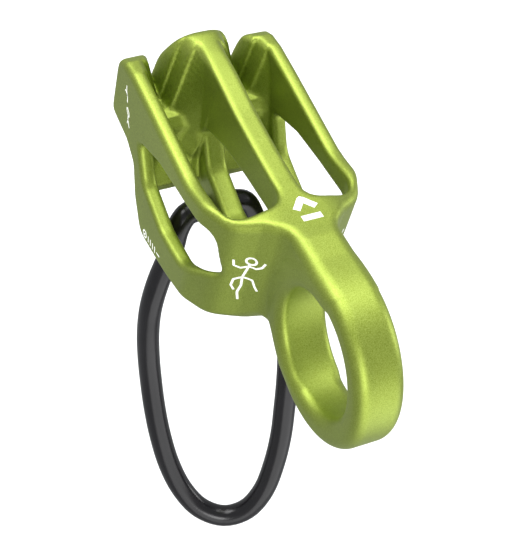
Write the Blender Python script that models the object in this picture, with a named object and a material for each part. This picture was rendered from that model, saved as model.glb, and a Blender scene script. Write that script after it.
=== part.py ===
"""Tube belay device with an anchor eye and a keeper loop, as separate solids.

Frame: +X is the width, +Y runs from the anchor eye to the toothed nose, +Z is up through the rope slots.
The origin is the centre of the anchor eye. Lengths below are millimetres and become metres in the meshes.
"""
import math

import bmesh
import bpy
import numpy as np

MM = 0.001

# ---- anchor eye (a ring whose hole runs along X)
EYE_RADIUS = 12.9
RING_OUTER_RADIUS = 19.3
RING_HALF_WIDTH = 5.25
RING_EDGE_RADIUS = 2.7

# ---- body width
BODY_HALF_WIDTH = 17.3
WALL_THICKNESS = 3.4
MIDDLE_HALF_THICKNESS = 2.5
EDGE_RADIUS = 1.6
RIM_RADIUS = 1.3

# ---- heights
WALL_TOP = 9.6
SPINE_TOP = 14.0
NOSE_Y = 76.2

# ---- rope slots
SLOT_END_Y = 25.2
SLOT_INNER_CORNER = 4.6
SLOT_OUTER_CORNER = 9.0
SLOT_OUTER_X = BODY_HALF_WIDTH - WALL_THICKNESS
GROOVE_X = 9.2
# toothed flank of a brake groove (x, y) at two heights; each tooth is a short jump outwards
FLANK_BOTTOM_Z = -5.0
FLANK_BOTTOM = [
    (2.5, 40.0), (2.5, 56.0), (3.3, 59.6), (8.5, 64.9), (9.3, 65.3), (9.2, 69.0), (10.0, 69.4),
    (9.9, 76.5), (9.9, 95.0),
]
FLANK_TOP_Z = 12.0
FLANK_TOP = [
    (2.5, 40.0), (2.5, 60.0), (2.6, 64.0), (2.9, 68.6), (3.8, 69.0), (4.3, 72.2), (5.3, 72.6),
    (6.4, 77.0), (6.8, 95.0),
]
# height of the outer walls towards the nose
WALL_TOP_AT = ([60.0, 68.0, 72.0, 74.0, 76.5], [9.6, 9.4, 8.6, 7.4, 5.2])

# ---- keeper loop
KEEPER_Y = 51.5
KEEPER_Z = -20.2
CABLE_RADIUS = 2.6
JACKET_INNER_RADIUS = 1.6
CORE_RADIUS = 1.3
CROSS_BORE_RADIUS = 3.05
FERRULE_RADIUS = 2.7
FERRULE_BORE_RADIUS = 1.6
FERRULE_LENGTH = 4.4
# route of the keeper's centre line (x, y, z), chosen by hand; the first and last points lie in the cross bore
KEEPER_ROUTE = [
    (-2.5, 51.5, -20.2), (-4.2, 51.5, -20.2), (-7.4, 51.2, -20.8), (-9.7, 49.7, -23.4),
    (-11.3, 47.6, -27.8), (-14.3, 45.2, -34.4), (-16.1, 43.2, -41.5), (-16.6, 41.4, -48.7),
    (-16.5, 39.2, -55.7), (-16.2, 36.2, -62.7), (-15.9, 32.1, -69.7), (-15.2, 27.8, -76.4),
    (-13.9, 23.3, -82.9), (-11.6, 18.7, -88.7), (-8.0, 14.2, -92.8), (-2.9, 10.7, -93.8),
    (2.2, 9.3, -90.6), (5.9, 10.2, -84.2), (8.4, 12.9, -76.8), (10.1, 16.1, -69.5),
    (11.2, 19.8, -62.2), (12.1, 23.4, -55.5), (12.8, 27.4, -49.3), (13.1, 32.1, -43.6),
    (12.9, 37.2, -38.6), (11.6, 42.4, -33.6), (9.9, 46.5, -28.8), (8.5, 49.3, -24.3),
    (6.8, 51.0, -21.1), (4.2, 51.5, -20.2), (2.5, 51.5, -20.2),
]

# ---- meshing
CELL = 0.84
BODY_TRIANGLES = 12400


# ------------------------------------------------------------------ outlines
def rounded(corners, steps=6):
    """Outline through (u, v, radius) corners, each corner with a radius turned into an arc."""
    outline = []
    count = len(corners)
    for i, (u, v, radius) in enumerate(corners):
        here = np.array([u, v])
        back = np.array(corners[i - 1][:2]) - here
        ahead = np.array(corners[(i + 1) % count][:2]) - here
        if radius <= 0:
            outline.append((u, v))
            continue
        back_unit = back / np.linalg.norm(back)
        ahead_unit = ahead / np.linalg.norm(ahead)
        half = 0.5 * math.acos(float(np.clip(back_unit @ ahead_unit, -1, 1)))
        reach = min(radius / math.tan(half), 0.49 * np.linalg.norm(back), 0.49 * np.linalg.norm(ahead))
        start = here + back_unit * reach
        end = here + ahead_unit * reach
        for k in range(steps + 1):
            t = k / steps
            outline.append(tuple((1 - t) ** 2 * start + 2 * t * (1 - t) * here + t ** 2 * end))
    return outline


def side_outline():
    """Side view (y, z) of the spine, from under the nose round to the ring and back."""
    return rounded([
        (75.4, -9.2, 3.0), (NOSE_Y, 4.0, 9.0), (72.8, SPINE_TOP - 0.6, 3.0),
        (66.0, SPINE_TOP + 0.2, 9.0), (60.0, SPINE_TOP, 9.0), (50.0, SPINE_TOP - 0.4, 30.0),
        (40.0, SPINE_TOP - 0.1, 40.0), (32.0, SPINE_TOP + 0.5, 40.0), (24.0, SPINE_TOP + 1.7, 40.0),
        (16.0, 17.1, 40.0), (8.0, 18.2, 40.0),
        (0.0, RING_OUTER_RADIUS - 0.8, 0), (0.0, -RING_OUTER_RADIUS + 2.0, 0),
        (8.0, -16.6, 0), (14.5, -12.6, 2.0), (18.2, -14.0, 2.0), (21.0, -17.3, 4.0), (26.0, -18.9, 6.0),
        (34.0, -21.2, 8.0), (44.0, -24.0, 6.0), (53.0, -26.0, 5.0), (58.6, -18.8, 5.0), (61.6, -11.6, 3.0),
        (66.0, -9.5, 3.0),
    ])


def plan_outline():
    """Right half of the plan view (x, y): ring width, then shoulders out to the full width."""
    return rounded([
        (-40.0, -40.0, 0), (RING_HALF_WIDTH, -40.0, 0), (RING_HALF_WIDTH, 18.0, 4.0),
        (9.0, 21.2, 5.0), (14.2, 24.4, 8.0), (17.0, 31.0, 8.0), (BODY_HALF_WIDTH, 38.0, 8.0),
        (BODY_HALF_WIDTH, NOSE_Y - 0.6, 2.0), (0.0, NOSE_Y + 1.4, 0), (-40.0, NOSE_Y + 1.4, 0),
    ])


def window_outline():
    """Side window (y, z) that runs through all three walls."""
    return rounded([
        (60.2, -3.4, 2.0), (50.0, 1.5, 8.0), (40.0, 3.9, 8.0), (27.2, 6.4, 3.0),
        (24.4, -3.6, 3.6), (34.0, -11.9, 6.0), (44.0, -13.6, 6.0), (55.0, -11.2, 5.0),
    ])


def slot_void_outline():
    """Side view (y, z) of what a rope slot may remove: it stops on the bridge and on the front wall."""
    return [
        (SLOT_END_Y - 4.0, 40.0), (90.0, 40.0), (90.0, -6.0), (NOSE_Y, -4.6), (71.4, -3.2), (66.0, -1.8),
        (63.6, -2.0), (62.2, -4.0), (62.2, -9.2), (58.6, -12.8), (57.0, -16.0), (57.2, -18.2),
        (64.0, -19.0), (64.0, -50.0), (SLOT_END_Y - 4.0, -50.0),
    ]


def slot_plan():
    """Plan view (x, y) of the right rope slot up to its brake groove."""
    return rounded([
        (SLOT_OUTER_X, 59.0, 0), (SLOT_OUTER_X, SLOT_END_Y, SLOT_OUTER_CORNER),
        (MIDDLE_HALF_THICKNESS, SLOT_END_Y, SLOT_INNER_CORNER), (MIDDLE_HALF_THICKNESS, 59.0, 0),
    ])


def flank_plan(height):
    """Plan view (x, y) of everything beyond the toothed flank at one height."""
    t = float(np.clip((height - FLANK_BOTTOM_Z) / (FLANK_TOP_Z - FLANK_BOTTOM_Z), -0.3, 1.2))
    flank = [(a[0] + (b[0] - a[0]) * t, a[1] + (b[1] - a[1]) * t) for a, b in zip(FLANK_BOTTOM, FLANK_TOP)]
    return flank + [(40.0, 95.0), (40.0, 40.0)]


# ------------------------------------------------------------------ distance fields
def polygon_distance(u, v, outline):
    """Signed distance to a closed outline, negative inside."""
    points = np.array(outline)
    nearest = np.full(u.shape, 1e12)
    inside = np.zeros(u.shape, dtype=bool)
    for (au, av), (bu, bv) in zip(points, np.roll(points, -1, axis=0)):
        du, dv = bu - au, bv - av
        span = du * du + dv * dv
        if span < 1e-12:
            continue
        t = np.clip(((u - au) * du + (v - av) * dv) / span, 0, 1)
        nearest = np.minimum(nearest, (u - au - t * du) ** 2 + (v - av - t * dv) ** 2)
        if abs(dv) > 1e-12:
            crosses = (av > v) != (bv > v)
            inside ^= crosses & (u < au + (v - av) * du / dv)
    return np.where(inside, -1.0, 1.0) * np.sqrt(nearest)


def round_max(a, b, radius):
    """Intersection of two fields whose shared edge is rounded to a radius."""
    corner = np.hypot(np.maximum(a + radius, 0), np.maximum(b + radius, 0))
    return np.minimum(np.maximum(a, b), -radius) + corner


def round_min(a, b, radius):
    """Union of two fields with a fillet of a radius in the corner."""
    return -round_max(-a, -b, radius)


def smooth_step(value, low, high):
    t = np.clip((value - low) / (high - low), 0, 1)
    return t * t * (3 - 2 * t)


def groove_field(x, y, z):
    """One brake groove: a V between a toothed flank and its mirror image, level by level as both lean."""
    wedge = np.empty(x.shape)
    rounded_z = np.round(z * 4) / 4
    for level in np.unique(rounded_z):
        at = rounded_z == level
        plan = flank_plan(level)
        near = polygon_distance(x[at], y[at], plan)
        far = polygon_distance(2 * GROOVE_X - x[at], y[at], plan)
        wedge[at] = round_max(near, far, 0.4)
    return round_max(wedge, x - SLOT_OUTER_X, 0.3)


def slot_field(x, y, z):
    """One rope slot with its brake groove."""
    plan = np.minimum(polygon_distance(x, y, slot_plan()), groove_field(x, y, z))
    return round_max(plan, polygon_distance(y, z, slot_void_outline()), 0.8)


def spine_height(y):
    """Height of the spine along the device, as a smoothed run of straight pieces."""
    along = np.arange(-10.0, 100.0, 0.5)
    height = np.interp(along, [8, 14, 24, 32, 40, 50, 60, 71], [26.0, 18.2, 15.7, 14.5, 13.9, 13.6, 14.0, 13.6])
    window = np.ones(9) / 9
    for _ in range(2):
        height = np.convolve(np.pad(height, 4, mode="edge"), window, mode="valid")
    return np.interp(y, along, height)


def body_field(x, y, z):
    """Distance field of the forged body, in millimetres, negative inside the metal."""
    x = np.abs(x)
    profile = polygon_distance(y, z, side_outline())
    plan = polygon_distance(x, y, plan_outline())
    spine = spine_height(y)
    fall = smooth_step(x, 4.0, 15.0) * (0.5 * smooth_step(y, 12.0, 22.0) + 0.5 * smooth_step(y, 28.0, 40.0))
    crown = 0.10 * np.minimum(x, 8.0) ** 2 * smooth_step(y, 58.0, 72.0) * (1 - fall)
    top = (z - spine + (spine - np.interp(y, *WALL_TOP_AT)) * fall + crown) * 0.85
    edge = RING_EDGE_RADIUS + (EDGE_RADIUS - RING_EDGE_RADIUS) * smooth_step(y, 14.0, 24.0)
    block = round_max(round_max(profile, top, 1.0), plan, edge)

    ring_disc = np.hypot(y, z) - RING_OUTER_RADIUS
    ring = round_max(ring_disc, x - RING_HALF_WIDTH, RING_EDGE_RADIUS)
    neck = np.where(y < 0, 50.0, block)
    solid = round_min(ring, neck, 1.2)

    solid = round_max(solid, EYE_RADIUS - np.hypot(y, z), RING_EDGE_RADIUS)
    solid = round_max(solid, -polygon_distance(y, z, window_outline()), RIM_RADIUS)
    solid = round_max(solid, -slot_field(x, y, z), RIM_RADIUS)
    bore = np.hypot(y - KEEPER_Y, z - KEEPER_Z) - CROSS_BORE_RADIUS
    bore = np.maximum(bore, x - 6.0)
    return round_max(solid, -bore, 0.4)


# ------------------------------------------------------------------ meshing
def surface_net(field, low, high, cell):
    """Quads on the zero level of a field: one vertex in each cell that the surface passes through."""
    axes = [np.arange(low[i], high[i] + cell, cell) for i in range(3)]
    gx, gy, gz = np.meshgrid(*axes, indexing="ij")
    values = field(gx.ravel(), gy.ravel(), gz.ravel()).reshape(gx.shape)
    shape = np.array(values.shape) - 1
    total = np.zeros(tuple(shape) + (3,))
    hits = np.zeros(tuple(shape))
    for axis in range(3):
        others = [k for k in range(3) if k != axis]
        for i in (0, 1):
            for j in (0, 1):
                start = [0, 0, 0]
                start[others[0]], start[others[1]] = i, j
                stop = list(start)
                stop[axis] = 1
                a = values[tuple(slice(s, s + n) for s, n in zip(start, shape))]
                b = values[tuple(slice(s, s + n) for s, n in zip(stop, shape))]
                cut = (a < 0) != (b < 0)
                t = np.where(cut, a / np.where(cut, a - b, 1), 0)
                offset = np.array(start, float)
                for k in range(3):
                    total[..., k] += np.where(cut, offset[k] + (t if k == axis else 0), 0)
                hits += cut
    used = hits > 0
    index = np.full(used.shape, -1)
    index[used] = np.arange(used.sum())
    base = np.argwhere(used)
    points = (base + total[used] / hits[used][:, None]) * cell + np.array([a[0] for a in axes])

    quads = []
    for axis in range(3):
        u, v = [(1, 2), (2, 0), (0, 1)][axis]
        core = [slice(1, -1)] * 3
        core[axis] = slice(0, values.shape[axis] - 1)
        ahead = list(core)
        ahead[axis] = slice(1, values.shape[axis])
        a, b = values[tuple(core)], values[tuple(ahead)]
        for cut, flip in (((a < 0) & (b >= 0), False), ((a >= 0) & (b < 0), True)):
            cells = np.argwhere(cut)
            cells[:, u] += 1
            cells[:, v] += 1
            ring = []
            for du, dv in ((-1, -1), (0, -1), (0, 0), (-1, 0)):
                at = cells.copy()
                at[:, u] += du
                at[:, v] += dv
                ring.append(index[at[:, 0], at[:, 1], at[:, 2]])
            quads.append(np.stack(ring[::-1] if flip else ring, axis=1))
    return points, np.concatenate(quads)


def settle(field, points, rounds=3):
    """Moves each vertex along the field's gradient onto the zero level."""
    step = 0.02
    for _ in range(rounds):
        value = field(*points.T)
        slope = np.stack([field(*(points + step * unit).T) - field(*(points - step * unit).T)
                          for unit in np.eye(3)], axis=1) / (2 * step)
        size = np.maximum((slope ** 2).sum(axis=1), 0.25)
        points = points - np.clip(value / size, -0.4, 0.4)[:, None] * slope
    return points


def tube_rings(path, radius_at, sides):
    """Rings of points round a path, carried along it without twist."""
    path = np.array(path)
    ahead = np.gradient(path, axis=0)
    ahead /= np.linalg.norm(ahead, axis=1)[:, None]
    normal = np.cross(ahead[0], [0.0, 0.0, 1.0])
    normal /= np.linalg.norm(normal)
    rings = []
    travelled = 0.0
    for i, (point, direction) in enumerate(zip(path, ahead)):
        normal = normal - direction * (normal @ direction)
        normal /= np.linalg.norm(normal)
        side = np.cross(direction, normal)
        if i:
            travelled += np.linalg.norm(path[i] - path[i - 1])
        angles = np.arange(sides) * 2 * math.pi / sides
        radii = np.array([radius_at(a, travelled) for a in angles])
        rings.append(point + radii[:, None] * (np.cos(angles)[:, None] * normal
                                               + np.sin(angles)[:, None] * side))
    return rings


def skin(rings, faces, first):
    """Quads between neighbouring rings whose vertices start at index first."""
    sides = len(rings[0])
    for i in range(len(rings) - 1):
        for j in range(sides):
            k = (j + 1) % sides
            a = first + i * sides
            b = a + sides
            faces.append((a + j, a + k, b + k, b + j))


def solid_rod(rings):
    """A closed rod: the skin with a fan on each end."""
    sides = len(rings[0])
    verts = [tuple(p) for ring in rings for p in ring]
    faces = []
    skin(rings, faces, 0)
    for ring, start, flip in ((rings[0], 0, True), (rings[-1], len(verts) - sides, False)):
        centre = len(verts)
        verts.append(tuple(np.mean(ring, axis=0)))
        for j in range(sides):
            k = (j + 1) % sides
            tri = (start + j, start + k, centre)
            faces.append(tri[::-1] if flip else tri)
    return verts, faces


def hollow_tube(outer, inner):
    """A closed pipe: outer skin, inner skin turned about, and an annulus on each end."""
    sides = len(outer[0])
    verts = [tuple(p) for ring in outer for p in ring]
    first_inner = len(verts)
    verts += [tuple(p) for ring in inner for p in ring]
    faces = []
    skin(outer, faces, 0)
    inside = []
    skin(inner, inside, first_inner)
    faces += [face[::-1] for face in inside]
    last = (len(outer) - 1) * sides
    for j in range(sides):
        k = (j + 1) % sides
        faces.append((k, j, first_inner + j, first_inner + k))
        faces.append((last + j, last + k, first_inner + last + k, first_inner + last + j))
    return verts, faces


# ------------------------------------------------------------------ keeper route
def keeper_path(steps=3):
    """The keeper's route as a smooth Catmull-Rom curve through its points."""
    points = [np.array(p) for p in KEEPER_ROUTE]
    points = [2 * points[0] - points[1]] + points + [2 * points[-1] - points[-2]]
    path = []
    for i in range(1, len(points) - 2):
        a, b, c, d = points[i - 1:i + 3]
        for k in range(steps):
            t = k / steps
            path.append(0.5 * (2 * b + (c - a) * t + (2 * a - 5 * b + 4 * c - d) * t ** 2
                               + (3 * b - a - 3 * c + d) * t ** 3))
    path.append(points[-2])
    return path


# ------------------------------------------------------------------ objects
def material(name, colour, roughness, metallic):
    result = bpy.data.materials.new(name)
    result.use_nodes = True
    shader = result.node_tree.nodes["Principled BSDF"]
    shader.inputs["Base Color"].default_value = (*colour, 1.0)
    shader.inputs["Roughness"].default_value = roughness
    shader.inputs["Metallic"].default_value = metallic
    result.diffuse_color = (*colour, 1.0)
    return result


def mesh_object(name, verts, faces, finish, origin=(0.0, 0.0, 0.0)):
    """An object from millimetre points in the device's frame, with its own origin."""
    mesh = bpy.data.meshes.new(name)
    places = [[(p[i] - origin[i]) * MM for i in range(3)] for p in verts]
    mesh.from_pydata(places, [], [tuple(int(i) for i in face) for face in faces])
    clean = bmesh.new()
    clean.from_mesh(mesh)
    bmesh.ops.recalc_face_normals(clean, faces=clean.faces)
    clean.to_mesh(mesh)
    clean.free()
    mesh.materials.append(finish)
    mesh.shade_smooth()
    result = bpy.data.objects.new(name, mesh)
    result.location = [c * MM for c in origin]
    bpy.context.scene.collection.objects.link(result)
    return result


def build_body(finish):
    """The forged body: one closed solid, thinned to a modest number of triangles."""
    low = (-BODY_HALF_WIDTH - 1.4, -RING_OUTER_RADIUS - 1.4, -28.0)
    high = (BODY_HALF_WIDTH + 1.4, NOSE_Y + 1.6, RING_OUTER_RADIUS + 1.4)
    points, quads = surface_net(body_field, low, high, CELL)
    points = settle(body_field, points)
    body = mesh_object("forged_body", points, quads, finish)
    thin = body.modifiers.new("thin", "DECIMATE")
    thin.ratio = BODY_TRIANGLES / (2 * len(quads))
    thin.use_symmetry = True
    thin.symmetry_axis = "X"
    graph = bpy.context.evaluated_depsgraph_get()
    mesh = bpy.data.meshes.new_from_object(body.evaluated_get(graph))
    body.modifiers.remove(thin)
    clean = bmesh.new()
    clean.from_mesh(mesh)
    bmesh.ops.triangulate(clean, faces=clean.faces)
    bmesh.ops.dissolve_degenerate(clean, dist=0.04 * MM, edges=clean.edges)
    bmesh.ops.triangulate(clean, faces=clean.faces)
    clean.to_mesh(mesh)
    clean.free()
    body.data = mesh
    mesh.name = "forged_body"
    mesh.shade_smooth()
    return body


def build_jacket(finish):
    """Plastic jacket of the keeper: an open tube from one mouth of the cross bore to the other."""
    path = keeper_path()
    outer = tube_rings(path, lambda angle, travelled: CABLE_RADIUS, 16)
    inner = tube_rings(path, lambda angle, travelled: JACKET_INNER_RADIUS, 16)
    verts, faces = hollow_tube(outer, inner)
    return mesh_object("keeper_jacket", verts, faces, finish, (0.0, KEEPER_Y, KEEPER_Z))


def build_core(finish):
    """Steel wire rope in the jacket: six outer strands, laid up once every 14 mm."""
    middle = np.array([0.15, KEEPER_Y, KEEPER_Z]) - np.array([0.3, 0.0, 0.0])
    path = [middle, middle - np.array([1.1, 0.0, 0.0])] + keeper_path()
    path += [np.array([1.25, KEEPER_Y, KEEPER_Z]), np.array([0.15, KEEPER_Y, KEEPER_Z])]

    def strands(angle, travelled):
        return CORE_RADIUS * (0.90 + 0.10 * math.cos(6 * (angle - 2 * math.pi * travelled / 14.0)))

    verts, faces = solid_rod(tube_rings(path, strands, 24))
    return mesh_object("keeper_wire", verts, faces, finish, (0.0, KEEPER_Y, KEEPER_Z))


def build_ferrule(finish):
    """Swaged sleeve that joins the wire's ends inside the cross bore."""
    half = FERRULE_LENGTH / 2
    path = [np.array([x, KEEPER_Y, KEEPER_Z]) for x in (-half, -half + 0.4, half - 0.4, half)]
    shape = [FERRULE_RADIUS - 0.3, FERRULE_RADIUS, FERRULE_RADIUS, FERRULE_RADIUS - 0.3]
    outer = tube_rings(path, lambda angle, travelled: 1.0, 32)
    outer = [path[i] + (outer[i] - path[i]) * shape[i] for i in range(4)]
    inner = tube_rings(path, lambda angle, travelled: FERRULE_BORE_RADIUS, 32)
    verts, faces = hollow_tube(outer, inner)
    ferrule = mesh_object("keeper_ferrule", verts, faces, finish, (0.0, KEEPER_Y, KEEPER_Z))
    ferrule.data.set_sharp_from_angle(angle=math.radians(30))
    return ferrule


def main():
    for old in list(bpy.data.objects):
        bpy.data.objects.remove(old, do_unlink=True)
    anodised = material("lime_anodised_aluminium", (0.262, 0.402, 0.022), 0.34, 0.9)
    black_coat = material("black_gloss_plastic", (0.012, 0.011, 0.013), 0.28, 0.0)
    steel = material("drawn_steel_wire", (0.42, 0.42, 0.43), 0.35, 1.0)
    sleeve = material("swaged_sleeve", (0.50, 0.50, 0.51), 0.4, 1.0)
    build_body(anodised)
    build_jacket(black_coat)
    build_core(steel)
    build_ferrule(sleeve)


main()
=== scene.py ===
import math

import bmesh
import bpy
import numpy as np
from mathutils import Matrix, Vector
from mathutils.bvhtree import BVHTree


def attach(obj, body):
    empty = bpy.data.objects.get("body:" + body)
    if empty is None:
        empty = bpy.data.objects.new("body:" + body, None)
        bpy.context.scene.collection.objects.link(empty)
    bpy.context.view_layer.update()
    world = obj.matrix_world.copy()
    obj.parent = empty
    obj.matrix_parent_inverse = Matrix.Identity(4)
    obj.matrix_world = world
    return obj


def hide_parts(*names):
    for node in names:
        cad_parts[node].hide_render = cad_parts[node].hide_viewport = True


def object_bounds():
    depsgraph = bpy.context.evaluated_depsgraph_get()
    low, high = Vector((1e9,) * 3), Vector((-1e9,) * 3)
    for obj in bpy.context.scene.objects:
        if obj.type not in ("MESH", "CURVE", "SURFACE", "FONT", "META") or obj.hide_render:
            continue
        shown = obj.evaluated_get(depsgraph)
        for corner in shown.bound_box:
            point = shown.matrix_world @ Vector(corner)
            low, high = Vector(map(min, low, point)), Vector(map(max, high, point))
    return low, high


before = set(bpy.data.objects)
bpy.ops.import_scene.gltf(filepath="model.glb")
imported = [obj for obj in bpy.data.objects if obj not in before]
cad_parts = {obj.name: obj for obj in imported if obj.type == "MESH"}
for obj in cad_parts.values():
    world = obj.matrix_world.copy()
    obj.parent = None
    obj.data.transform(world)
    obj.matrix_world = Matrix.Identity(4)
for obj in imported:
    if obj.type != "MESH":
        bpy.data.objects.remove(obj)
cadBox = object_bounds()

mm = 0.001


# colours are typed as sRGB hex and used as linear values
def hexColor(text):
    channels = [int(text[i:i + 2], 16) / 255 for i in (1, 3, 5)]
    linear = [c / 12.92 if c <= 0.04045 else ((c + 0.055) / 1.055) ** 2.4 for c in channels]
    return (*linear, 1.0)


def addNode(tree, kind, settings=None, links=None):
    node = tree.nodes.new(kind)
    for name, value in (settings or {}).items():
        if isinstance(name, int) or name in node.inputs:
            node.inputs[name].default_value = value
        else:
            setattr(node, name, value)
    for name, source in (links or {}).items():
        tree.links.new(source, node.inputs[name])
    return node


def startMaterial(name):
    surface = bpy.data.materials.new(name)
    surface.use_nodes = True
    tree = surface.node_tree
    return surface, tree, tree.nodes["Principled BSDF"]


def setShader(shader, values):
    for name, value in values.items():
        shader.inputs[name].default_value = value


# ---------- studio: a long lens from above the anchor eye's left side, soft boxes and a pale floor

studio = {
    "cameraPlace": (-0.1141, -0.1186, 0.2398),
    "right": (0.904, -0.3911, 0.1728),
    "down": (-0.2357, -0.793, -0.5618),
    "ahead": (0.3568, 0.4671, -0.8091),
    "lens": 106.4,
    "floorColor": "#F4F4F3",
    "floorDrop": 0.030,  # below the lowest point
    "floorReach": 3.0,
}


def placeCamera():
    lens = bpy.data.cameras.new("camera")
    lens.sensor_fit = "HORIZONTAL"
    lens.sensor_width = 36.0
    lens.lens = studio["lens"]
    lens.clip_start = 0.01
    camera = bpy.data.objects.new("camera", lens)
    right, down, ahead = (Vector(studio[k]) for k in ("right", "down", "ahead"))
    turn = Matrix((right, -down, -ahead)).transposed().to_4x4()
    camera.matrix_world = Matrix.Translation(studio["cameraPlace"]) @ turn
    bpy.context.scene.collection.objects.link(camera)
    bpy.context.scene.camera = camera
    return camera


def areaLight(name, place, target, size, power, color="#FFFFFF"):
    lamp = bpy.data.lights.new(name, "AREA")
    lamp.shape = "RECTANGLE"
    lamp.size, lamp.size_y = size
    lamp.energy = power
    lamp.color = hexColor(color)[:3]
    light = bpy.data.objects.new(name, lamp)
    light.location = place
    aim = Vector(target) - Vector(place)
    light.rotation_euler = aim.to_track_quat("-Z", "Y").to_euler()
    bpy.context.scene.collection.objects.link(light)
    return light


def lightStudio():
    target = (0, 0.03, -0.01)
    areaLight("keySoftbox", (-0.36, 0.42, 0.62), target, (0.60, 0.50), 5.6)
    areaLight("topSoftbox", (0.16, 0.30, 0.75), target, (0.50, 0.50), 3.6)
    areaLight("frontFill", (-0.35, -0.75, 0.35), target, (0.45, 0.35), 4.0)
    areaLight("rightStrip", (0.75, -0.10, 0.22), target, (0.20, 0.60), 2.2)
    # lifts the faces turned down and forward
    areaLight("lowFill", (0.04, -0.26, -0.10), target, (0.50, 0.28), 0.75)
    world = bpy.data.worlds.new("studioAir")
    world.use_nodes = True
    air = world.node_tree.nodes["Background"]
    air.inputs["Color"].default_value = hexColor("#E9ECEF")
    air.inputs["Strength"].default_value = 0.64
    bpy.context.scene.world = world
    bpy.context.scene.view_settings.view_transform = "Standard"


def layFloor():
    drop = cadBox[0][2] - studio["floorDrop"]
    mesh = bpy.data.meshes.new("floor")
    reach = studio["floorReach"]
    corners = [(-reach, -reach, drop), (reach, -reach, drop), (reach, reach, drop), (-reach, reach, drop)]
    mesh.from_pydata(corners, [], [(0, 1, 2, 3)])
    floor = bpy.data.objects.new("floor", mesh)
    bpy.context.scene.collection.objects.link(floor)
    paper, tree, shader = startMaterial("mattePaperFloor")  # flat pale sweep, no gloss
    setShader(shader, {"Base Color": hexColor(studio["floorColor"]), "Roughness": 0.9})
    mesh.materials.append(paper)
    floor.visible_glossy = False  # its reflection would wash out the outer walls


placeCamera()
lightStudio()
layFloor()
print("studio ready")

# ---------- forged body: distances in millimetres from the middle of the anchor eye

ringShape = {"hole": 12.9, "outer": 19.3, "halfWidth": 5.25, "edge": 2.7}
bodyShape = {
    "halfWidth": 17.3, "wall": 3.4, "middle": 2.5, "edge": 1.6, "rim": 1.3, "spineTop": 14.0,
}
slotShape = {
    "endY": 25.2, "innerCorner": 4.6, "outerCorner": 9.0, "grooveX": 9.2,
    # the toothed flank, (x, y) at the height of the lip and at the top; each tooth is a short jump outwards
    "lowHeight": -5.0,
    "lowFlank": [(2.5, 40.0), (2.5, 56.0), (3.3, 59.6), (8.5, 64.9), (9.3, 65.3), (9.2, 69.0), (10.0, 69.4),
                 (9.9, 76.5), (9.9, 95.0)],
    "highHeight": 12.0,
    "highFlank": [(2.5, 40.0), (2.5, 60.0), (2.6, 64.0), (2.9, 68.6), (3.8, 69.0), (4.3, 72.2), (5.3, 72.6),
                  (6.4, 77.0), (6.8, 95.0)],
}
keeperShape = {"y": 51.5, "z": -20.2, "crossBore": 3.05}
bodyCell = 0.42  # grid spacing of the surface


# corners are (u, v, radius); a corner with a radius becomes an arc
def roundedOutline(corners, steps=8):
    outline = []
    for i, (u, v, radius) in enumerate(corners):
        here = np.array([u, v])
        if radius <= 0:
            outline.append((u, v))
            continue
        back = np.array(corners[i - 1][:2]) - here
        ahead = np.array(corners[(i + 1) % len(corners)][:2]) - here
        backUnit = back / np.linalg.norm(back)
        aheadUnit = ahead / np.linalg.norm(ahead)
        half = 0.5 * math.acos(float(np.clip(backUnit @ aheadUnit, -1, 1)))
        reach = min(radius / math.tan(half), 0.49 * np.linalg.norm(back), 0.49 * np.linalg.norm(ahead))
        for k in range(steps + 1):
            t = k / steps
            point = (1 - t) ** 2 * (here + backUnit * reach) + 2 * t * (1 - t) * here
            outline.append(tuple(point + t ** 2 * (here + aheadUnit * reach)))
    return outline


top = bodyShape["spineTop"]
sideOutline = roundedOutline([
    (75.4, -9.2, 3.0), (76.2, 4.0, 9.0), (72.8, top - 0.6, 3.0), (66.0, top + 0.2, 9.0), (60.0, top, 9.0),
    (50.0, top - 0.4, 30.0), (40.0, top - 0.1, 40.0), (32.0, top + 0.5, 40.0), (24.0, top + 1.7, 40.0),
    (16.0, 17.1, 40.0), (8.0, 18.2, 40.0), (0.0, 18.5, 0), (0.0, -17.3, 0), (8.0, -16.6, 0),
    (14.5, -12.6, 2.0), (18.2, -14.0, 2.0), (21.0, -17.3, 4.0), (26.0, -18.9, 6.0), (34.0, -21.2, 8.0),
    (44.0, -24.0, 6.0), (53.0, -26.0, 5.0), (58.6, -18.8, 5.0), (61.6, -11.6, 3.0),
    (66.0, -9.5, 3.0),
])
planOutline = roundedOutline([
    (-40.0, -40.0, 0), (5.25, -40.0, 0), (5.25, 18.0, 4.0), (9.0, 21.2, 5.0), (14.2, 24.4, 8.0),
    (17.0, 31.0, 8.0), (17.3, 38.0, 8.0), (17.3, 75.6, 2.0), (0.0, 77.6, 0), (-40.0, 77.6, 0),
])
windowOutline = roundedOutline([
    (60.2, -3.4, 2.0), (50.0, 1.5, 8.0), (40.0, 3.9, 8.0), (27.2, 6.4, 3.0),
    (24.4, -3.6, 3.6), (34.0, -11.9, 6.0), (44.0, -13.6, 6.0), (55.0, -11.2, 5.0),
])
# what a rope slot may take away, seen from the side: it stops on the bridge and the front wall
slotVoid = [
    (21.2, 40.0), (90.0, 40.0), (90.0, -6.0), (76.0, -4.6), (71.4, -3.2), (66.0, -1.8), (63.6, -2.0),
    (62.2, -4.0), (62.2, -9.2), (58.6, -12.8), (57.0, -16.0), (57.2, -18.2), (64.0, -19.0),
    (64.0, -50.0), (21.2, -50.0),
]
slotOuterX = bodyShape["halfWidth"] - bodyShape["wall"]
slotPlan = roundedOutline([
    (slotOuterX, 59.0, 0), (slotOuterX, slotShape["endY"], slotShape["outerCorner"]),
    (2.5, slotShape["endY"], slotShape["innerCorner"]), (2.5, 59.0, 0),
])


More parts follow.
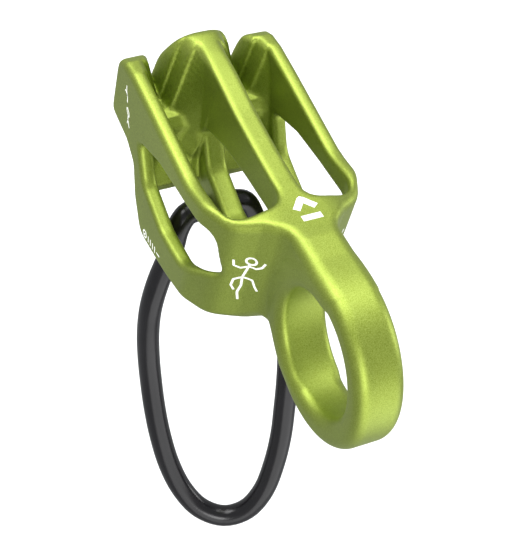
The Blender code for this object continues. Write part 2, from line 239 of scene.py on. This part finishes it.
def flankPlan(height):
    t = (height - slotShape["lowHeight"]) / (slotShape["highHeight"] - slotShape["lowHeight"])
    t = min(max(t, -0.3), 1.2)
    flank = [(a[0] + (b[0] - a[0]) * t, a[1] + (b[1] - a[1]) * t)
             for a, b in zip(slotShape["lowFlank"], slotShape["highFlank"])]
    return flank + [(40.0, 95.0), (40.0, 40.0)]


def outlineDistance(u, v, outline):
    nearest = np.full(np.broadcast(u, v).shape, 1e12)
    inside = np.zeros(nearest.shape, dtype=bool)
    for (au, av), (bu, bv) in zip(outline, outline[1:] + outline[:1]):
        du, dv = bu - au, bv - av
        span = du * du + dv * dv
        if span < 1e-12:
            continue
        t = np.clip(((u - au) * du + (v - av) * dv) / span, 0, 1)
        nearest = np.minimum(nearest, (u - au - t * du) ** 2 + (v - av - t * dv) ** 2)
        if abs(dv) > 1e-12:
            inside ^= ((av > v) != (bv > v)) & (u < au + (v - av) * du / dv)
    return np.where(inside, -1.0, 1.0) * np.sqrt(nearest)


def roundMax(a, b, radius):
    corner = np.hypot(np.maximum(a + radius, 0), np.maximum(b + radius, 0))
    return np.minimum(np.maximum(a, b), -radius) + corner


def smoothStep(value, low, high):
    t = np.clip((value - low) / (high - low), 0, 1)
    return t * t * (3 - 2 * t)


# a brake groove: a V between a toothed flank and its mirror image; the flank is read level by level
def grooveDistance(x, y, z):
    facing = 2 * slotShape["grooveX"] - x

    def wedge(xs, others, ys, height):
        plan = flankPlan(height)
        return roundMax(outlineDistance(xs, ys, plan), outlineDistance(others, ys, plan), 0.4)

    if z.ndim == 3:
        levels = [wedge(x[:, :, 0], facing[:, :, 0], y[:, :, 0], float(h)) for h in z[0, 0]]
        wedges = np.stack(levels, axis=2)
    else:
        wedges = np.empty(x.shape)
        rounded = np.round(z * 4) / 4
        for level in np.unique(rounded):
            at = rounded == level
            wedges[at] = wedge(x[at], facing[at], y[at], float(level))
    return roundMax(wedges, x - slotOuterX, 0.3)


# height of the spine: straight pieces run smooth
spineAlong = np.arange(-10.0, 100.0, 0.5)
spineHeight = np.interp(spineAlong, [8, 14, 24, 32, 40, 50, 60, 71],
                        [26.0, 18.2, 15.7, 14.5, 13.9, 13.6, 14.0, 13.6])
for _ in range(2):
    spineHeight = np.convolve(np.pad(spineHeight, 4, mode="edge"), np.ones(9) / 9, mode="valid")


def bodyField(x, y, z):
    x = np.abs(x)
    spine = np.interp(y, spineAlong, spineHeight)
    fall = smoothStep(x, 4.0, 15.0) * (0.5 * smoothStep(y, 12.0, 22.0) + 0.5 * smoothStep(y, 28.0, 40.0))
    wallTop = np.interp(y, [60, 68, 72, 74, 76.5], [9.6, 9.4, 8.6, 7.4, 5.2])
    crown = 0.10 * np.minimum(x, 8.0) ** 2 * smoothStep(y, 58.0, 72.0) * (1 - fall)
    above = (z - spine + (spine - wallTop) * fall + crown) * 0.85
    edge = ringShape["edge"] + (bodyShape["edge"] - ringShape["edge"]) * smoothStep(y, 14.0, 24.0)
    block = roundMax(outlineDistance(y, z, sideOutline), above, 1.0)
    block = roundMax(block, outlineDistance(x, y, planOutline), edge)
    ring = roundMax(np.hypot(y, z) - ringShape["outer"], x - ringShape["halfWidth"], ringShape["edge"])
    solid = -roundMax(-ring, -np.where(y < 0, 50.0, block), 1.2)
    solid = roundMax(solid, ringShape["hole"] - np.hypot(y, z), ringShape["edge"])
    solid = roundMax(solid, -outlineDistance(y, z, windowOutline), bodyShape["rim"])
    plan = np.minimum(outlineDistance(x, y, slotPlan), grooveDistance(x, y, z))
    slot = roundMax(plan, outlineDistance(y, z, slotVoid), 0.8)
    solid = roundMax(solid, -slot, bodyShape["rim"])
    bore = np.hypot(y - keeperShape["y"], z - keeperShape["z"]) - keeperShape["crossBore"]
    return roundMax(solid, -np.maximum(bore, x - 6.0), 0.4)


# one vertex in each grid cell that the surface crosses, joined into quads
def surfaceNet(values, axes, cell):
    shape = np.array(values.shape) - 1
    total = np.zeros((*shape, 3))
    hits = np.zeros(shape)
    for axis in range(3):
        others = [k for k in range(3) if k != axis]
        for i, j in ((0, 0), (0, 1), (1, 0), (1, 1)):
            start = [0, 0, 0]
            start[others[0]], start[others[1]] = i, j
            stop = list(start)
            stop[axis] = 1
            a = values[tuple(slice(s, s + n) for s, n in zip(start, shape))]
            b = values[tuple(slice(s, s + n) for s, n in zip(stop, shape))]
            cut = (a < 0) != (b < 0)
            t = np.where(cut, a / np.where(cut, a - b, 1), 0)
            for k in range(3):
                total[..., k] += np.where(cut, start[k] + (t if k == axis else 0), 0)
            hits += cut
    used = hits > 0
    index = np.full(used.shape, -1)
    index[used] = np.arange(used.sum())
    points = (np.argwhere(used) + total[used] / hits[used][:, None]) * cell + np.array([a[0] for a in axes])
    quads = []
    for axis, (u, v) in enumerate([(1, 2), (2, 0), (0, 1)]):
        core = [slice(1, -1)] * 3
        core[axis] = slice(0, values.shape[axis] - 1)
        ahead = list(core)
        ahead[axis] = slice(1, values.shape[axis])
        a, b = values[tuple(core)], values[tuple(ahead)]
        for cut, flip in (((a < 0) & (b >= 0), False), ((a >= 0) & (b < 0), True)):
            cells = np.argwhere(cut)
            cells[:, u] += 1
            cells[:, v] += 1
            ring = []
            for du, dv in ((-1, -1), (0, -1), (0, 0), (-1, 0)):
                at = cells.copy()
                at[:, u] += du
                at[:, v] += dv
                ring.append(index[tuple(at.T)])
            quads.append(np.stack(ring[::-1] if flip else ring, axis=1))
    return points, np.concatenate(quads)


# slides every vertex along the field's slope onto the surface
def settleOnSurface(points, rounds=3, step=0.02):
    for _ in range(rounds):
        slope = np.stack([bodyField(*(points + step * unit).T) - bodyField(*(points - step * unit).T)
                          for unit in np.eye(3)], axis=1) / (2 * step)
        size = np.maximum((slope ** 2).sum(axis=1), 0.25)
        points = points - np.clip(bodyField(*points.T) / size, -0.3, 0.3)[:, None] * slope
    return points


def makeBody():
    cell = bodyCell
    low = (-18.7, -20.7, -27.0)
    high = (18.7, 77.6, 20.7)
    axes = [np.arange(a, b + cell, cell) for a, b in zip(low, high)]
    grid = (axes[0][:, None, None], axes[1][None, :, None], axes[2][None, None, :])
    points, quads = surfaceNet(bodyField(*grid), axes, cell)
    points = settleOnSurface(points)
    mesh = bpy.data.meshes.new("forgedBodySurface")
    mesh.from_pydata((points * mm).tolist(), [], quads.tolist())
    tidy = bmesh.new()
    tidy.from_mesh(mesh)
    bmesh.ops.recalc_face_normals(tidy, faces=tidy.faces)
    tidy.to_mesh(mesh)
    tidy.free()
    mesh.shade_smooth()
    body = bpy.data.objects.new("forgedBodySurface", mesh)
    bpy.context.scene.collection.objects.link(body)
    print("body surface:", len(quads) * 2, "triangles")
    return body


# bead-blasted, dyed and sealed anodising: a satin metal whose clear oxide layer gives pale highlights
def anodisedMaterial():
    surface, tree, shader = startMaterial("limeAnodisedBeadBlastedAluminium")
    blast = 0.00022  # width of one blasting dent, drawn slightly coarse so that it shows
    place = addNode(tree, "ShaderNodeTexCoord").outputs["Object"]
    dents = addNode(tree, "ShaderNodeTexNoise", {"Scale": 1 / blast, "Detail": 2.0, "Roughness": 0.6},
                    {"Vector": place})
    cloud = addNode(tree, "ShaderNodeTexNoise", {"Scale": 1 / 0.018, "Detail": 2.0}, {"Vector": place})
    tone = addNode(tree, "ShaderNodeValToRGB", links={"Fac": dents.outputs["Fac"]})
    tone.color_ramp.elements[0].position = 0.30
    tone.color_ramp.elements[0].color = hexColor("#899A2E")
    tone.color_ramp.elements[1].position = 0.72
    tone.color_ramp.elements[1].color = hexColor("#AFC058")
    patch = addNode(tree, "ShaderNodeMix", {"data_type": "RGBA", "blend_type": "MULTIPLY", 0: 0.25},
                    {6: tone.outputs["Color"], 7: cloud.outputs["Fac"]})
    tree.links.new(patch.outputs[2], shader.inputs["Base Color"])
    rough = addNode(tree, "ShaderNodeMapRange", {"To Min": 0.42, "To Max": 0.60},
                    {"Value": dents.outputs["Fac"]})
    tree.links.new(rough.outputs["Result"], shader.inputs["Roughness"])
    bump = addNode(tree, "ShaderNodeBump", {"Strength": 0.25, "Distance": 0.00004},
                   {"Height": dents.outputs["Fac"]})
    tree.links.new(bump.outputs["Normal"], shader.inputs["Normal"])
    setShader(shader, {"Metallic": 1.0, "Coat Weight": 0.35, "Coat Roughness": 0.42})
    return surface


body = makeBody()
body.data.materials.append(anodisedMaterial())
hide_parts("forged_body")
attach(body, "device")
print("forged body ready")

# ---------- laser marks: the dye is burnt off, so they show as flat white lines

marks = {
    "rise": 0.02,  # above the surface
    "sink": 0.06,
    "step": 0.25,
    # each figure: middle of the drawing, its right and up directions, the way it is pressed on,
    # line width, lines
    "figures": {
        "climberLeft": {
            "middle": (-9.3, 21.4, -2.4), "across": (0.84, -0.54, 0.0), "up": (0.0, 0.0, 1.0),
            "press": (0.54, 0.84, 0.0), "width": 0.5,
            "lines": [
                "ring 0.2 5.9 1.05",
                [(0.0, 4.6), (-0.3, 2.6), (-0.7, 0.2)],
                [(-0.1, 4.1), (-1.6, 3.1), (-3.0, 3.5), (-3.3, 5.2)],
                [(-0.1, 4.1), (1.5, 4.0), (2.5, 4.9), (3.0, 6.5)],
                [(-0.7, 0.2), (-2.3, -1.1), (-2.5, -3.2), (-1.7, -4.6)],
                [(-0.7, 0.2), (1.4, 0.0), (2.2, -1.9), (2.9, -3.0)],
                [(-0.7, 0.2), (-0.5, -2.6), (-0.9, -5.2), (-0.4, -7.6)],
            ],
        },
        "belayerLeft": {
            "middle": (-17.3, 67.6, 0.2), "across": (0.0, -0.93, -0.36), "up": (0.0, 0.36, 0.93),
            "press": (1.0, 0.0, 0.0), "width": 0.34,
            "lines": [
                "ring 0.5 -1.2 0.75",
                [(0.3, 4.9), (0.0, 3.6), (0.5, 2.3), (0.3, 0.9)],
                [(0.4, 2.6), (-0.5, 2.9), (-1.2, 2.4)],
                [(0.4, -2.0), (0.2, -3.4), (-0.5, -4.8)],
                [(0.2, -3.3), (0.9, -4.6)],
            ],
        },
        "rangeLeft": {
            "middle": (-17.3, 46.6, -21.6), "across": (0.0, -0.97, 0.25), "up": (0.0, 0.25, 0.97),
            "press": (1.0, 0.0, 0.0), "width": 0.36,
            "lines": [
                "ring -3.6 0.0 0.85",
                [(-4.5, -0.9), (-2.7, 0.9)],
                [(-1.6, -0.8), (-1.6, 0.8)], [(-0.4, -0.8), (-0.4, 0.8)], [(0.8, -0.8), (0.8, 0.8)],
                [(2.0, -0.8), (2.0, 0.8)], [(3.0, 0.0), (4.6, 0.0)],
            ],
        },
        "peakTop": {
            "middle": (0.7, 22.4, 15.7), "across": (1.0, 0.0, 0.0), "up": (0.0, 1.0, -0.18),
            "press": (0.0, 0.0, -1.0), "width": 1.5,
            "lines": [
                [(-2.1, 0.2), (-1.1, 1.4), (0.0, 2.8), (1.1, 1.4), (2.1, 0.2)],
                [(-2.1, -2.3), (2.1, -2.3)],
            ],
        },
    },
}
marks["figures"]["climberRight"] = {
    **marks["figures"]["climberLeft"], "middle": (9.3, 21.4, -2.4), "across": (0.84, 0.54, 0.0),
    "press": (-0.54, 0.84, 0.0),
}
marks["figures"]["rangeRight"] = {
    **marks["figures"]["rangeLeft"], "middle": (17.3, 46.6, -21.6), "across": (0.0, 0.97, -0.25),
    "press": (-1.0, 0.0, 0.0),
}


def drawnLine(line):
    if isinstance(line, str):
        u, v, radius = (float(t) for t in line.split()[1:])
        turns = [2 * math.pi * k / 24 for k in range(25)]
        return [(u + radius * math.cos(t), v + radius * math.sin(t)) for t in turns]
    points = []
    for (au, av), (bu, bv) in zip(line, line[1:]):
        count = max(1, round(math.hypot(bu - au, bv - av) / marks["step"]))
        points += [(au + (bu - au) * k / count, av + (bv - av) * k / count) for k in range(count)]
    return points + [line[-1]]


# a line drawn on the skin becomes a closed flat strip that follows it
def markStrip(mesh, surface, figure, line):
    middle, across, up, press = (Vector(figure[k]) for k in ("middle", "across", "up", "press"))
    spots = []
    for u, v in drawnLine(line):
        start = (middle + across * u + up * v - press * 4) * mm
        spot, normal, _, _ = surface.ray_cast(start, press, 0.012)
        if spot is not None:
            spots.append((spot, normal))
    half = figure["width"] / 2 * mm
    rings = []
    for i, (spot, normal) in enumerate(spots):
        ahead = spots[min(i + 1, len(spots) - 1)][0] - spots[max(i - 1, 0)][0]
        side = ahead.cross(normal).normalized() * half
        high, low = normal * marks["rise"] * mm, normal * marks["sink"] * mm
        corners = (side + high, high - side, -side - low, side - low)
        rings.append([mesh.verts.new(spot + c) for c in corners])
    for a, b in zip(rings, rings[1:]):
        for k in range(4):
            mesh.faces.new((a[k], a[(k + 1) % 4], b[(k + 1) % 4], b[k]))
    if len(rings) > 1:
        mesh.faces.new(rings[0][::-1])
        mesh.faces.new(rings[-1])


def markMaterial():
    # bare oxide: flat, slightly speckled white
    surface, tree, shader = startMaterial("laserBurntWhiteMark")
    place = addNode(tree, "ShaderNodeTexCoord").outputs["Object"]
    speck = addNode(tree, "ShaderNodeTexNoise", {"Scale": 1 / 0.0004, "Detail": 2.0}, {"Vector": place})
    tone = addNode(tree, "ShaderNodeMix",
                   {"data_type": "RGBA", 6: hexColor("#E9EBDF"), 7: hexColor("#FBFBF8")},
                   {0: speck.outputs["Fac"]})
    tree.links.new(tone.outputs[2], shader.inputs["Base Color"])
    setShader(shader, {"Roughness": 0.7})
    return surface


def makeMarks():
    surface = BVHTree.FromPolygons([v.co for v in body.data.vertices],
                                   [p.vertices[:] for p in body.data.polygons])
    white = markMaterial()
    for name, figure in marks["figures"].items():
        strips = bmesh.new()
        for line in figure["lines"]:
            markStrip(strips, surface, figure, line)
        bmesh.ops.recalc_face_normals(strips, faces=strips.faces)
        mesh = bpy.data.meshes.new(name + "Mark")
        strips.to_mesh(mesh)
        strips.free()
        mesh.materials.append(white)
        mark = bpy.data.objects.new(name + "Mark", mesh)
        bpy.context.scene.collection.objects.link(mark)
        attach(mark, "device")


makeMarks()
print("marks ready")

# ---------- keeper loop: coated wire through the hole in the middle wall

keeper = {
    "diameter": 0.0052,
    "sides": 32,
    "steps": 5,  # curve points between two route points
    "route": [
        (-2.5, 51.5, -20.2), (-4.2, 51.5, -20.2), (-7.4, 51.2, -20.8), (-9.7, 49.7, -23.4),
        (-11.3, 47.6, -27.8), (-14.3, 45.2, -34.4), (-16.1, 43.2, -41.5), (-16.6, 41.4, -48.7),
        (-16.5, 39.2, -55.7), (-16.2, 36.2, -62.7), (-15.9, 32.1, -69.7), (-15.2, 27.8, -76.4),
        (-13.9, 23.3, -82.9), (-11.6, 18.7, -88.7), (-8.0, 14.2, -92.8), (-2.9, 10.7, -93.8),
        (2.2, 9.3, -90.6), (5.9, 10.2, -84.2), (8.4, 12.9, -76.8), (10.1, 16.1, -69.5),
        (11.2, 19.8, -62.2), (12.1, 23.4, -55.5), (12.8, 27.4, -49.3), (13.1, 32.1, -43.6),
        (12.9, 37.2, -38.6), (11.6, 42.4, -33.6), (9.9, 46.5, -28.8), (8.5, 49.3, -24.3),
        (6.8, 51.0, -21.1), (4.2, 51.5, -20.2), (2.5, 51.5, -20.2),
    ],
}


def keeperPath():
    points = [np.array(p) * mm for p in keeper["route"]]
    points = [2 * points[0] - points[1]] + points + [2 * points[-1] - points[-2]]
    path = []
    for i in range(1, len(points) - 2):
        a, b, c, d = points[i - 1:i + 3]
        for k in range(keeper["steps"]):
            t = k / keeper["steps"]
            path.append(0.5 * (2 * b + (c - a) * t + (2 * a - 5 * b + 4 * c - d) * t ** 2
                               + (3 * b - a - 3 * c + d) * t ** 3))
    path.append(points[-2])
    return [tuple(float(c) for c in p) for p in path]


# a line of edges becomes a round tube
def sweepTree(name, surface):
    tree = bpy.data.node_groups.new(name, "GeometryNodeTree")
    tree.interface.new_socket("Geometry", in_out="INPUT", socket_type="NodeSocketGeometry")
    radius = tree.interface.new_socket("Radius", in_out="INPUT", socket_type="NodeSocketFloat")
    sides = tree.interface.new_socket("Sides", in_out="INPUT", socket_type="NodeSocketInt")
    tree.interface.new_socket("Geometry", in_out="OUTPUT", socket_type="NodeSocketGeometry")
    radius.default_value = 0.001
    sides.default_value = 12
    given = addNode(tree, "NodeGroupInput").outputs
    line = addNode(tree, "GeometryNodeMeshToCurve", links={"Mesh": given["Geometry"]})
    profile = addNode(tree, "GeometryNodeCurvePrimitiveCircle",
                      links={"Resolution": given["Sides"], "Radius": given["Radius"]})
    tube = addNode(tree, "GeometryNodeCurveToMesh", {"Fill Caps": True},
                   {"Curve": line.outputs["Curve"], "Profile Curve": profile.outputs["Curve"]})
    smooth = addNode(tree, "GeometryNodeSetShadeSmooth", links={"Geometry": tube.outputs["Mesh"]})
    plain = addNode(tree, "GeometryNodeRealizeInstances", links={"Geometry": smooth.outputs["Geometry"]})
    finish = addNode(tree, "GeometryNodeSetMaterial", {"Material": surface},
                     {"Geometry": plain.outputs["Geometry"]})
    addNode(tree, "NodeGroupOutput", links={"Geometry": finish.outputs["Geometry"]})
    return tree


def sweptPiece(name, lines, radius, sides, surface):
    mesh = bpy.data.meshes.new(name + "Line")
    verts = [p for line in lines for p in line]
    edges = []
    first = 0
    for line in lines:
        edges += [(first + i, first + i + 1) for i in range(len(line) - 1)]
        first += len(line)
    mesh.from_pydata(verts, edges, [])
    holder = bpy.data.objects.new(name, mesh)
    bpy.context.scene.collection.objects.link(holder)
    tree = sweepTree(name + "Sweep", surface)
    sweep = holder.modifiers.new("sweep", "NODES")
    sweep.node_group = tree
    sockets = {item.name: item.identifier for item in tree.interface.items_tree if item.in_out == "INPUT"}
    sweep[sockets["Radius"]] = radius
    sweep[sockets["Sides"]] = sides
    holder.update_tag()
    graph = bpy.context.evaluated_depsgraph_get()
    result = bpy.data.meshes.new_from_object(holder.evaluated_get(graph))
    holder.modifiers.remove(sweep)
    holder.data = result
    result.name = name
    if not result.materials:
        result.materials.append(surface)
    return holder


# extruded polyurethane coat: glossy near-black with a faint lengthwise ripple from the wire beneath
def coatMaterial():
    surface, tree, shader = startMaterial("blackGlossExtrudedCoat")
    place = addNode(tree, "ShaderNodeTexCoord").outputs["Object"]
    ripple = addNode(tree, "ShaderNodeTexNoise", {"Scale": 1 / 0.004, "Detail": 2.0}, {"Vector": place})
    fine = addNode(tree, "ShaderNodeTexNoise", {"Scale": 1 / 0.0006, "Detail": 3.0}, {"Vector": place})
    tone = addNode(tree, "ShaderNodeValToRGB", links={"Fac": ripple.outputs["Fac"]})
    tone.color_ramp.elements[0].color = hexColor("#0B0A0C")
    tone.color_ramp.elements[1].color = hexColor("#141215")
    tree.links.new(tone.outputs["Color"], shader.inputs["Base Color"])
    rough = addNode(tree, "ShaderNodeMapRange", {"To Min": 0.20, "To Max": 0.30},
                    {"Value": fine.outputs["Fac"]})
    tree.links.new(rough.outputs["Result"], shader.inputs["Roughness"])
    bump = addNode(tree, "ShaderNodeBump", {"Strength": 0.12, "Distance": 0.0001},
                   {"Height": ripple.outputs["Fac"]})
    tree.links.new(bump.outputs["Normal"], shader.inputs["Normal"])
    setShader(shader, {"IOR": 1.5, "Specular IOR Level": 0.4})
    return surface


# bright drawn steel: cool metal with fine lengthwise draw lines
def steelMaterial(name, color, roughness):
    surface, tree, shader = startMaterial(name)
    place = addNode(tree, "ShaderNodeTexCoord").outputs["Object"]
    lines = addNode(tree, "ShaderNodeTexNoise", {"Scale": 1 / 0.0004, "Detail": 2.0}, {"Vector": place})
    rough = addNode(tree, "ShaderNodeMapRange", {"To Min": roughness - 0.06, "To Max": roughness + 0.08},
                    {"Value": lines.outputs["Fac"]})
    tree.links.new(rough.outputs["Result"], shader.inputs["Roughness"])
    tone = addNode(tree, "ShaderNodeMix", {"data_type": "RGBA", 6: hexColor(color), 7: hexColor("#C9CBCD")},
                   {0: lines.outputs["Fac"]})
    tree.links.new(tone.outputs[2], shader.inputs["Base Color"])
    setShader(shader, {"Metallic": 1.0})
    return surface


def dressNode(name, surface):
    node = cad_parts[name]
    node.data.materials.clear()
    node.data.materials.append(surface)
    return node


path = keeperPath()
jacket = sweptPiece("keeperJacket", [path], keeper["diameter"] / 2, keeper["sides"], coatMaterial())
wire = dressNode("keeper_wire", steelMaterial("drawnSteelWireRope", "#A6A8AB", 0.32))
ferrule = dressNode("keeper_ferrule", steelMaterial("swagedSteelSleeve", "#B4B5B7", 0.40))
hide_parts("keeper_jacket")
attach(jacket, "keeper")
